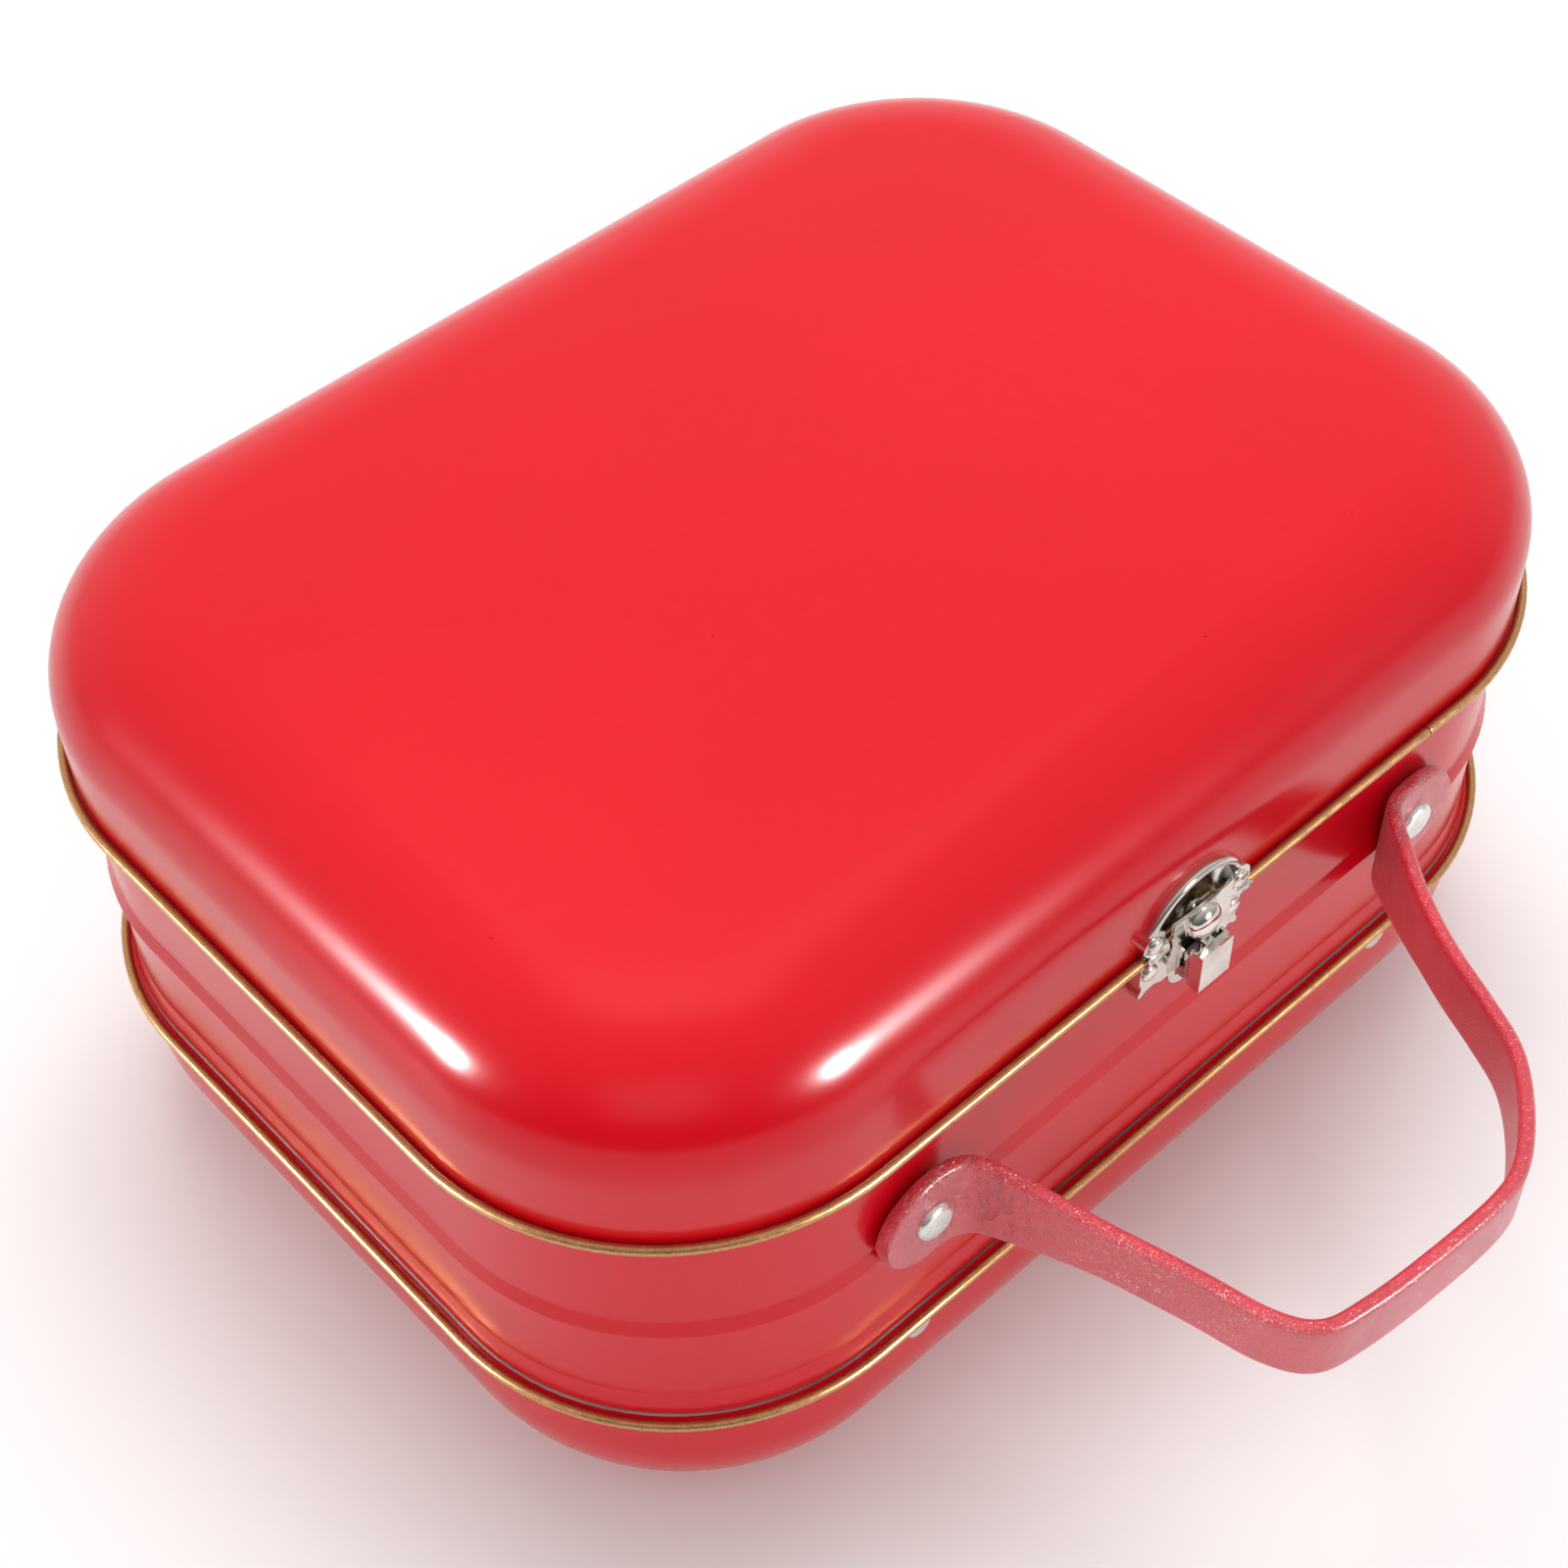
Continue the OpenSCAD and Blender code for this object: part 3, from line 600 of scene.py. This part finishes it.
def curl(name, z, wall_in, joint_x=None):
    """A gilt rim wire with the lip that lies against the wall behind it. joint_x is where the
    wire's two ends butt together on the front."""
    gap = 0.13 * MM
    extra = () if joint_x is None else [joint_x + s * gap for s in (-4, -1.6, -1, 1, 1.6, 4)]
    depth = {-1: 0.62, 1: 0.62, -1.6: 0.94, 1.6: 0.94}
    marks = {round(joint_x + s * gap, 7): share for s, share in depth.items()} if extra else {}

    def pinch(core, out, reach, height, k):
        for j in range(len(core)):
            share = marks.get(round(core[j, 0], 7)) if out[j, 1] == -1 else None
            if share is not None:
                reach[j] = CORNER_R + (reach[j] - CORNER_R) * share
                height[j] = z + (height[j] - z) * share
        return reach, height

    tube = circle(0, z, WIRE_R, 24)
    points, count = rings(tube, extra, pinch)
    faces = swept_faces(count, len(tube))
    top, foot = z - 0.30 * WIRE_R, z - 0.62 * WIRE_R
    lip = [(0.3 * MM, foot), (0.3 * MM, top), (wall_in + 0.1 * MM, top),
           (wall_in + 0.1 * MM, foot)]
    more, _ = rings(lip, extra)
    slots = [0] * len(faces)
    faces += [tuple(v + len(points) for v in f) for f in swept_faces(count, len(lip))]
    slots += [1] * (len(faces) - len(slots))
    made = make_object(name, np.concatenate([points, more]), faces, [GILT, ENAMEL], slots)
    sharpen(made, 50)
    return made


def build_rims():
    lid_curl = curl("lid_rim_curl", LID_WIRE_Z, SKIRT_IN, RIVET_X)
    finish_piece(lid_curl, "lid", "gilt_wire", "lid_rim_wire")
    pan_curl = curl("pan_rim_curl", PAN_WIRE_Z, PAN_IN)
    finish_piece(pan_curl, "case", "gilt_wire", "pan_rim_wire")
    inset = BAND_IN + SHEET_T + HEM_R
    points, count = rings(circle(inset, NECK_TOP - HEM_R, HEM_R, 16))
    made = make_object("neck_hem", points, swept_faces(count, 16), [ENAMEL])
    finish_piece(made, "case", "red_enamel", "neck_hem_wire")


# ------------------------------------------------------------------------- handle
def smooth_path(points, spacing):
    """Evenly spaced points on a Catmull-Rom curve through the given ones."""
    p = [np.array(v, float) for v in points]
    p = [2 * p[0] - p[1]] + p + [2 * p[-1] - p[-2]]
    dense = []
    for a, b, c, d in zip(p, p[1:], p[2:], p[3:]):
        for t in np.linspace(0, 1, 40, endpoint=False):
            dense.append(0.5 * (2 * b + (c - a) * t + (2 * a - 5 * b + 4 * c - d) * t * t
                                + (3 * b - a - 3 * c + d) * t ** 3))
    dense.append(p[-2])
    dense = np.array(dense)
    run = np.r_[0, np.cumsum(np.linalg.norm(np.diff(dense, axis=0), axis=1))]
    count = int(run[-1] / spacing)
    at = np.linspace(0, run[-1], count + 1)
    return np.c_[np.interp(at, run, dense[:, 0]), np.interp(at, run, dense[:, 1])], at


def strap_line():
    """The strap's middle line in plan, from the left tab's end round to the right one's."""
    wall = TAB_BACK - STRAP_T / 2
    end = LOOP_Y + STRAP_T / 2
    reach = wall - end
    left = [(-RIVET_X - TAB_R, 0), (-RIVET_X - 3 * MM, 0), (-RIVET_X + 2.5 * MM, 0),
            (-57.6 * MM, 0.015), (-54.6 * MM, 0.060), (-51.2 * MM, 0.20), (-46.8 * MM, 0.42),
            (-43.2 * MM, 0.63), (-40.2 * MM, 0.82), (-35.6 * MM, 0.925), (-27 * MM, 0.962),
            (-13 * MM, 0.985)]
    right = [(4 * MM, 0.995), (13 * MM, 0.965), (22.5 * MM, 0.87), (30.5 * MM, 0.745),
             (35.2 * MM, 0.60), (39.8 * MM, 0.43), (46.0 * MM, 0.245), (51.6 * MM, 0.11),
             (55.0 * MM, 0.035), (58.2 * MM, 0.006), (RIVET_X - 1.5 * MM, 0),
             (RIVET_X + 4 * MM, 0), (RIVET_X + TAB_R, 0)]
    points = [(x, wall - share * reach) for x, share in left + right]
    return smooth_path(points, 0.8 * MM)


def strap_width(path, run):
    """Half the strap's width: a half-round end, the full tab, then a taper to the grip."""
    grip, taper = 7.1 * MM, 34 * MM
    from_end = np.minimum(run, run[-1] - run)
    full = np.sqrt(np.clip(TAB_R ** 2 - np.clip(TAB_R - from_end, 0, None) ** 2, 1e-10, None))
    t = np.clip((from_end - TAB_R - 3 * MM) / taper, 0, 1)
    waist = TAB_R + (grip - TAB_R) * t * t * (3 - 2 * t)
    return np.minimum(full, waist)


def strap_section(half, steps=4):
    """Section of the strap, (across, height): flat faces and rounded painted edges."""
    r = min(1.15 * MM, 0.9 * half)
    t = STRAP_T / 2
    rows = []
    for cx, cz, first in ((t - r, half - r, 0), (-t + r, half - r, 90),
                          (-t + r, -half + r, 180), (t - r, -half + r, 270)):
        for k in range(steps + 1):
            a = math.radians(first + 90 * k / steps)
            rows.append((cx + r * math.cos(a), cz + r * math.sin(a)))
    side = 8
    full = []
    for k, (a, b) in enumerate(zip(rows, rows[1:] + rows[:1])):
        full.append(a)
        if k % (steps + 1) == steps and (k // (steps + 1)) % 2 == 1:
            full += [(a[0] + (b[0] - a[0]) * j / side, a[1] + (b[1] - a[1]) * j / side)
                     for j in range(1, side)]
    return full


def build_strap():
    path, run = strap_line()
    half = strap_width(path, run)
    heading = np.gradient(path, axis=0)
    heading /= np.linalg.norm(heading, axis=1)[:, None]
    across = np.c_[heading[:, 1], -heading[:, 0]]
    turning = np.abs(np.gradient(np.unwrap(np.arctan2(heading[:, 1], heading[:, 0])), run))
    spread = np.exp(-0.5 * (np.arange(-28, 29) / 11) ** 2)
    turning = np.convolve(turning, spread / spread.sum(), "same")
    near_rivet = np.clip(1.4 - np.minimum(run, run[-1] - run) / (60 * MM), 0.3, 1)
    crease = np.clip(turning / 42, 0, 1) * near_rivet
    points, faces, slots, weights = [], [], [], []
    for k, (p, side, h) in enumerate(zip(path, across, half)):
        section = strap_section(h)
        for out, z in section:
            points.append((p[0] + side[0] * out, p[1] + side[1] * out, HANDLE_Z + z))
            weights.append(crease[k] * (1 - 0.35 * abs(z) / TAB_R))
        count = len(section)
    flat = STRAP_T / 2 - 0.02 * MM
    for r in range(len(path) - 1):
        for k in range(count):
            n = (k + 1) % count
            faces.append((r * count + k, r * count + n, (r + 1) * count + n, (r + 1) * count + k))
            on_face = abs(section[k][0]) > flat and abs(section[n][0]) > flat
            slots.append(0 if on_face else 1)
    last = (len(path) - 1) * count
    faces += [tuple(range(count))[::-1], tuple(range(last, last + count))]
    slots += [1, 1]
    mesh = bpy.data.meshes.new("leather_strap")
    mesh.from_pydata(points, [], faces)
    for material in (LEATHER, EDGE):
        mesh.materials.append(material)
    mesh.polygons.foreach_set("material_index", slots)
    mesh.polygons.foreach_set("use_smooth", [True] * len(faces))
    held = mesh.attributes.new("crease", "FLOAT", "POINT")
    held.data.foreach_set("value", np.array(weights, np.float32))
    made = bpy.data.objects.new("leather_strap", mesh)
    bpy.context.scene.collection.objects.link(made)
    work = bmesh.new()
    work.from_mesh(mesh)
    bmesh.ops.recalc_face_normals(work, faces=work.faces)
    work.to_mesh(mesh)
    work.free()
    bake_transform(made)
    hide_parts("handle_tabs", "handle_strap")


def build_handle_rivets():
    front = TAB_BACK - STRAP_T
    wall = HALF_W - BAND_IN - SHEET_T
    washer = 0.8 * MM
    grip = -front - wall + washer
    places = [(x, front, HANDLE_Z) for x in (-RIVET_X, RIVET_X)]
    profile = cap_profile(CAP_R, 1.5 * MM, 1.3 * MM, 1.15 * MM, grip, 2.1 * MM, 0.75 * MM)
    made = turned(profile, places, (0, -1, 0), "strap_rivet_caps", CAP)
    finish_piece(made, "case", "nickel", "handle_rivets")
    ring = [(1.25 * MM, 0), (4.2 * MM, 0), (4.5 * MM, 0.2 * MM), (4.5 * MM, washer - 0.15 * MM),
            (4.35 * MM, washer), (1.25 * MM, washer), (1.25 * MM, 0)]
    places = [(x, -wall + washer, HANDLE_Z) for x in (-RIVET_X, RIVET_X)]
    made = turned(ring, places, (0, -1, 0), "strap_washers", ZINC)
    finish_piece(made, "case", "zinc_steel", "handle_washers")


def build_pan_rivets():
    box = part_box("pan_rivets")
    z = (box[0].z + box[1].z) / 2
    face = HALF_W - PAN_IN
    grip = 2 * SHEET_T + 0.05 * MM
    profile = cap_profile(3 * MM, 1.25 * MM, 0.95 * MM, 1.15 * MM, grip, 2.1 * MM, 0.75 * MM)
    front = turned(profile, [(x, -face, z) for x in (-RIVET_X, RIVET_X)], (0, -1, 0),
                   "pan_rivet_caps", CAP)
    back = turned(profile, [(x, face, z) for x in (-RIVET_X, RIVET_X)], (0, 1, 0),
                  "pan_rivet_caps_back", CAP)
    finish_piece(front, "case", "nickel", "pan_rivets")
    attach(back, "case")


# -------------------------------------------------------------------------- latch
def small_rivets(name, node, body, stand):
    """The pair of capped rivets of a latch plate that stands that far in front of its sheet."""
    head_r, head_h = 1.9 * MM, 1.0 * MM
    low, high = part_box(node)
    places = [(x, low.y + head_h, (low.z + high.z) / 2) for x in (low.x + head_r, high.x - head_r)]
    profile = cap_profile(head_r, 0.95 * MM, 1.1 * MM, 0.78 * MM, stand + SHEET_T, 1.45 * MM,
                          0.55 * MM)
    made = turned(profile, places, (0, -1, 0), name, NICKEL, 28)
    finish_piece(made, body, "nickel", node)


def paint_shade_inside(obj, box):
    """The faces inside the hasp's pad, given the dark metal as painted shade."""
    low, high = box
    wall, half = 0.3 * MM, PAD_W / 2 - 0.3 * MM
    obj.data.materials.append(PAINTED_SHADE)
    for face in obj.data.polygons:
        x, y, z = face.center
        if abs(x) < half and low.y + wall < y < HASP_FRONT - PLATE_T and z < PAD_TOP - wall:
            face.material_index = 1


def build_hasp_dome():
    """The dome pressed in the hasp, with the brim round its foot and the knurl above it."""
    radius, height, brim = 3.75 * MM, 2.6 * MM, 0.45 * MM
    profile = [(1e-7, height)]
    for k in range(1, 15):
        a = math.pi / 2 * k / 14
        rise = height * math.cos(a) ** 0.8 if k < 14 else 0.4 * brim
        profile.append((radius * math.sin(a) ** 0.9, rise))
    profile += [(radius + 0.5 * brim, 0.34 * brim), (radius + brim, 0.3 * brim),
                (radius + brim, -0.1 * MM), (1e-7, -0.1 * MM)]
    made = turned(profile, [(0, HASP_FRONT, DOME_Z)], (0, -1, 0), "hasp_dome_cap", NICKEL, 56)
    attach(made, "hasp")
    bead = [(1e-7, 0.26 * MM), (0.14 * MM, 0.2 * MM), (0.19 * MM, 0.08 * MM), (0.2 * MM, -0.1 * MM)]
    top, sag_r, span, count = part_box("hasp")[1].z - 0.85 * MM, 36 * MM, 7.4 * MM, 17
    places = []
    for k in range(count):
        x = (k / (count - 1) - 0.5) * span
        places.append((x, HASP_FRONT, top + x * x / (2 * sag_r)))
    made = turned(bead, places, (0, -1, 0), "hasp_knurl", NICKEL, 10)
    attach(made, "hasp")


def build_strike_lobes():
    """The fluted lobes that carry the strike plate's ears down over the rim wire."""
    rows, columns, thick = 36, 14, 0.4 * MM
    high, low = LID_WIRE_Z + 2.6 * MM, LID_WIRE_Z - WIRE_R - 0.15 * MM
    near, far = 7.85 * MM, 12.9 * MM
    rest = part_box("strike_plate")[0].y - 0.1 * MM
    points, faces = [], []
    for side in (-1, 1):
        for back in (0, thick):
            for r in range(rows + 1):
                v = r / rows
                edge = far + 0.55 * MM * math.cos(2 * math.pi * 2.5 * v)
                arch = 0.95 * MM * max(math.sin(math.pi * v), 0) ** 0.7
                for c in range(columns + 1):
                    u = c / columns
                    flute = 0.22 * MM * math.sin(2 * math.pi * (2.5 * v + 0.25)) * u
                    y = rest - arch - flute * (1 - (2 * v - 1) ** 4) + back
                    points.append((side * (near + (edge - near) * u), y, high + (low - high) * v))
    layer = (rows + 1) * (columns + 1)
    for sheet in range(4):
        for r in range(rows):
            for c in range(columns):
                k = sheet * layer + r * (columns + 1) + c
                faces.append((k, k + 1, k + columns + 2, k + columns + 1))
    rim = [r * (columns + 1) for r in range(rows + 1)]
    rim += [rows * (columns + 1) + c for c in range(1, columns + 1)]
    rim += [r * (columns + 1) + columns for r in range(rows - 1, -1, -1)]
    rim += [c for c in range(columns - 1, 0, -1)]
    for first in (0, 2 * layer):
        for a, b in zip(rim, rim[1:] + rim[:1]):
            faces.append((first + a, first + b, first + layer + b, first + layer + a))
    made = make_object("strike_lobes", points, faces, [NICKEL])
    sharpen(made, 50)
    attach(made, "lid")


def build_painted_shade_sheet():
    """A dark sheet at the back of the opening between the lugs: painted shade."""
    half, deep = PAD_W / 2 - 1.0 * MM, 0.05 * MM
    low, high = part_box("hasp")[0].z - 1.5 * MM, PAD_TOP - 1.8 * MM
    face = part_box("latch_base_rivets")[0].y + 1.0 * MM
    ring = ((-half, low), (half, low), (half, high), (-half, high))
    points = [(x, face - deep, z) for x, z in ring] + [(x, face + deep, z) for x, z in ring]
    faces = [(0, 1, 2, 3), (4, 7, 6, 5)] + [(k, k + 4, (k + 1) % 4 + 4, (k + 1) % 4)
                                            for k in range(4)]
    made = make_object("latch_painted_shade_sheet", points, faces, [PAINTED_SHADE], smooth=False)
    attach(made, "case")


def build_latch():
    dish = softened("strike_dish", "strike_plate", NICKEL, 0.16 * MM)
    finish_piece(dish, "lid", "nickel", "strike_plate")
    stud = softened("latch_stud", "strike_stud", NICKEL, 0.12 * MM)
    finish_piece(stud, "lid", "nickel", "strike_stud")
    base = softened("latch_base", "latch_base_plate", NICKEL, 0.16 * MM)
    finish_piece(base, "case", "nickel", "latch_base_plate")
    plate = softened("hasp_stamping", "hasp", NICKEL, 0.14 * MM)
    paint_shade_inside(plate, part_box("hasp"))
    finish_piece(plate, "hasp", "nickel", "hasp")
    build_hasp_dome()
    build_strike_lobes()
    build_painted_shade_sheet()
    axle = softened("hasp_axle", "hasp_pin", ZINC, 0.12 * MM)
    finish_piece(axle, "hasp", "zinc_steel", "hasp_pin")
    small_rivets("strike_rivet_caps", "strike_rivets", "lid", STRIKE_STAND)
    small_rivets("latch_base_rivet_caps", "latch_base_rivets", "case", BASE_STAND)


def build_spring():
    wire, turns, steps = 0.19 * MM, 6, 26
    coil, half, short_leg, long_leg = 0.9 * MM, 1.2 * MM, 2.2 * MM, 4.0 * MM
    _, y, z = HASP_PIN
    line = []
    for k in range(turns * steps + 1):
        a = 2 * math.pi * k / steps
        line.append(Vector((-half + 2 * half * k / (turns * steps), y + coil * math.cos(a),
                            z + coil * math.sin(a))))
    line.insert(0, line[0] + Vector((0, 0, short_leg)))
    line.append(line[-1] + Vector((0, 0, long_leg)))
    curve = bpy.data.curves.new("hasp_coil", "CURVE")
    curve.dimensions = "3D"
    curve.bevel_depth = wire
    curve.bevel_resolution = 3
    spline = curve.splines.new("POLY")
    spline.points.add(len(line) - 1)
    for point, place in zip(spline.points, line):
        point.co = (*place, 1)
    curve.materials.append(SPRING)
    made = bpy.data.objects.new("hasp_coil", curve)
    bpy.context.scene.collection.objects.link(made)
    finish_piece(made, "case", "spring_steel", "hasp_spring")


# ------------------------------------------------------------------------- hinges
def build_hinges():
    for name, node, body, slot, material in (
            ("hinge_leaf_body", "hinge_body_leaves", "case", "nickel", NICKEL),
            ("hinge_leaf_lid", "hinge_lid_leaves", "lid", "nickel", NICKEL),
            ("hinge_axles", "hinge_pins", "case", "zinc_steel", ZINC)):
        made = softened(name, node, material, 0.15 * MM)
        finish_piece(made, body, slot, node)
    for name, node, body in (("hinge_rivet_caps_body", "hinge_body_rivets", "case"),
                             ("hinge_rivet_caps_lid", "hinge_lid_rivets", "lid")):
        made = softened(name, node, NICKEL, 0.12 * MM)
        finish_piece(made, body, "nickel", node)


# --------------------------------------------------------------------- stage, light
def build_stage():
    size = 14.0
    floor = make_object("floor", [(-size, -size, 0), (size, -size, 0), (size, size, 0),
                                  (-size, size, 0)], [(0, 1, 2, 3)], [pale_floor()])
    floor.location.z = -0.2 * MM


def area_light(name, azimuth, elevation, distance, size, power, fill=True, gloss=True):
    """A square softbox aimed at the box. Azimuth is measured from +X towards +Y, in degrees.
    fill and gloss say whether it lights matt surfaces and shows in polished ones."""
    a, e = math.radians(azimuth), math.radians(elevation)
    away = Vector((math.cos(a) * math.cos(e), math.sin(a) * math.cos(e), math.sin(e)))
    data = bpy.data.lights.new(name, "AREA")
    data.size = size
    data.energy = power
    made = bpy.data.objects.new(name, data)
    made.location = Vector((0, 0, LID_WIRE_Z)) + away * distance
    made.visible_diffuse, made.visible_glossy = fill, gloss
    made.rotation_euler = away.to_track_quat("Z", "Y").to_euler()
    bpy.context.scene.collection.objects.link(made)
    return made


def build_light():
    world = bpy.data.worlds.new("studio")
    bpy.context.scene.world = world
    world.use_nodes = True
    tree = world.node_tree
    where = tree.nodes.new("ShaderNodeTexCoord")
    facing = tree.nodes.new("ShaderNodeVectorMath")
    facing.operation = "DOT_PRODUCT"
    facing.inputs[1].default_value = (0.52, 0.60, 0.60)
    tree.links.new(where.outputs["Generated"], facing.inputs[0])
    ramp = tree.nodes.new("ShaderNodeMapRange")
    ramp.interpolation_type = "SMOOTHSTEP"
    for key, value in (("From Min", -0.7), ("From Max", 0.9), ("To Min", 0.12), ("To Max", 0.80)):
        ramp.inputs[key].default_value = value
    tree.links.new(facing.outputs["Value"], ramp.inputs["Value"])
    tree.links.new(ramp.outputs[0], tree.nodes["Background"].inputs["Strength"])
    tree.nodes["Background"].inputs["Color"].default_value = (1, 1, 1, 1)
    area_light("overhead", 48, 74, 1.9, 1.1, 21, gloss=False)
    area_light("fill", -135, 40, 1.9, 0.9, 9, gloss=False)
    area_light("left_softbox", 157, 17, 1.5, 0.24, 35, fill=False)
    area_light("right_softbox", -76, 21, 1.5, 0.24, 30, fill=False)


def build_camera():
    azimuth, elevation, roll = (math.radians(v) for v in (-41.34, 48.90, -1.86))
    place = Vector((-0.2436, -0.2694, LID_WIRE_Z + 0.3711))
    ahead = Vector((-math.sin(azimuth) * math.cos(elevation),
                    math.cos(azimuth) * math.cos(elevation), -math.sin(elevation)))
    level = Vector((math.cos(azimuth), math.sin(azimuth), 0))
    up = level.cross(ahead)
    right = math.cos(roll) * level + math.sin(roll) * up
    top = -math.sin(roll) * level + math.cos(roll) * up
    data = bpy.data.cameras.new("camera")
    data.lens = 62.36
    data.sensor_width = 36
    data.clip_start, data.clip_end = 0.02, 60
    camera = bpy.data.objects.new("camera", data)
    turn = Matrix((right, top, -ahead)).transposed().to_4x4()
    camera.matrix_world = Matrix.Translation(place) @ turn
    bpy.context.scene.collection.objects.link(camera)
    bpy.context.scene.camera = camera


build_lid()
build_pan()
build_band()
build_rims()
build_strap()
build_handle_rivets()
build_pan_rivets()
build_latch()
build_spring()
build_hinges()
build_stage()
build_light()
build_camera()
bpy.context.scene.view_settings.view_transform = "Standard"
